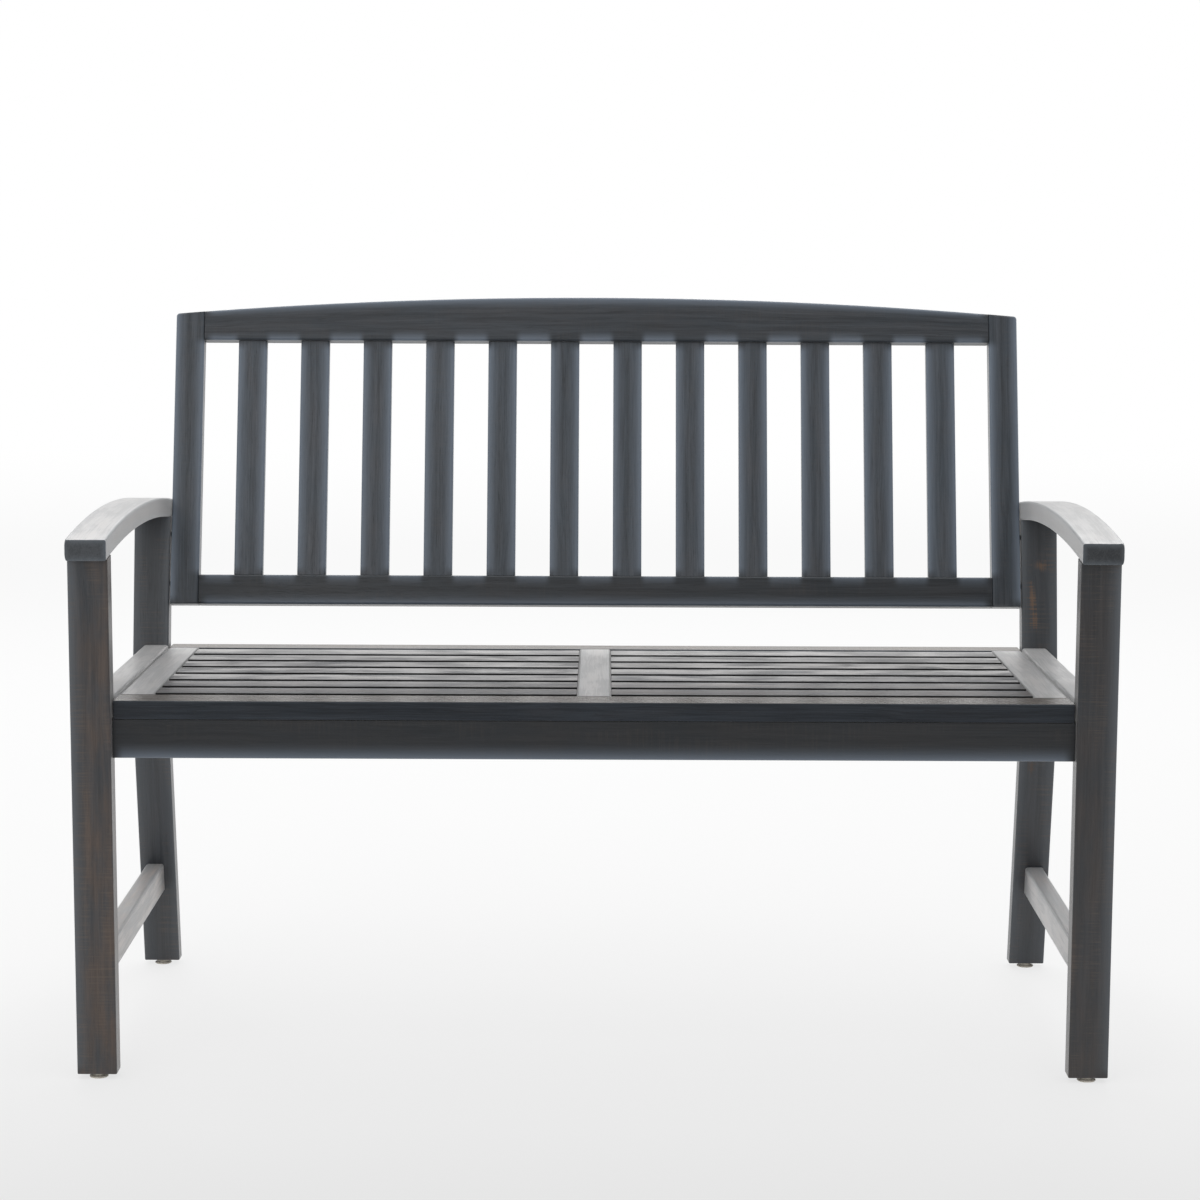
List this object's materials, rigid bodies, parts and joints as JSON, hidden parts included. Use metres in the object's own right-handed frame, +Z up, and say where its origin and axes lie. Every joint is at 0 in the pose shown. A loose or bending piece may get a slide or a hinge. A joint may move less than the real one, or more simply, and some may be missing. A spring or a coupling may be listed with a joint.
{
  "type": "deacons bench",
  "caption": "Slatted wooden bench with arched armrests, a leaning back of upright slats under an arched top rail, and splayed rear legs.",
  "frame": {"origin": "on the floor, under the middle of the bench's overall box", "axes": "+X to the right of a viewer who faces the front, along the seat; +Y from front to back; +Z up. The front faces -Y."},
  "size_m": [1.204, 0.6112, 0.8865],
  "materials": {
    "stained_wood": "satin, charcoal brown stain over open grain",
    "bolt_steel": "blacked, satin",
    "glide_plastic": "matte, off-white"
  },
  "bodies": {
    "root": {"back_bottom_rail": "stained_wood", "back_left_stile": "stained_wood", "back_right_stile": "stained_wood", "back_slat_1": "stained_wood", "back_slat_10": "stained_wood", "back_slat_11": "stained_wood", "back_slat_12": "stained_wood", "back_slat_2": "stained_wood", "back_slat_3": "stained_wood", "back_slat_4": "stained_wood", "back_slat_5": "stained_wood", "back_slat_6": "stained_wood", "back_slat_7": "stained_wood", "back_slat_8": "stained_wood", "back_slat_9": "stained_wood", "back_top_rail": "stained_wood", "front_apron": "stained_wood", "left_armrest": "stained_wood", "left_front_leg": "stained_wood", "left_rear_leg": "stained_wood", "left_side_seat_rail": "stained_wood", "left_side_stretcher": "stained_wood", "rear_apron": "stained_wood", "right_armrest": "stained_wood", "right_front_leg": "stained_wood", "right_rear_leg": "stained_wood", "right_side_seat_rail": "stained_wood", "right_side_stretcher": "stained_wood", "seat_centre_rail": "stained_wood", "seat_front_rail": "stained_wood", "seat_left_end_rail": "stained_wood", "seat_left_slat_1": "stained_wood", "seat_left_slat_2": "stained_wood", "seat_left_slat_3": "stained_wood", "seat_left_slat_4": "stained_wood", "seat_left_slat_5": "stained_wood", "seat_left_slat_6": "stained_wood", "seat_left_slat_7": "stained_wood", "seat_rear_rail": "stained_wood", "seat_right_end_rail": "stained_wood", "seat_right_slat_1": "stained_wood", "seat_right_slat_2": "stained_wood", "seat_right_slat_3": "stained_wood", "seat_right_slat_4": "stained_wood", "seat_right_slat_5": "stained_wood", "seat_right_slat_6": "stained_wood", "seat_right_slat_7": "stained_wood", "left_front_apron_bolt": "bolt_steel", "left_lower_back_bolt": "bolt_steel", "left_rear_apron_bolt": "bolt_steel", "left_upper_back_bolt": "bolt_steel", "right_front_apron_bolt": "bolt_steel", "right_lower_back_bolt": "bolt_steel", "right_rear_apron_bolt": "bolt_steel", "right_upper_back_bolt": "bolt_steel", "left_front_glide": "glide_plastic", "left_rear_glide": "glide_plastic", "right_front_glide": "glide_plastic", "right_rear_glide": "glide_plastic"}
  },
  "joints": []
}
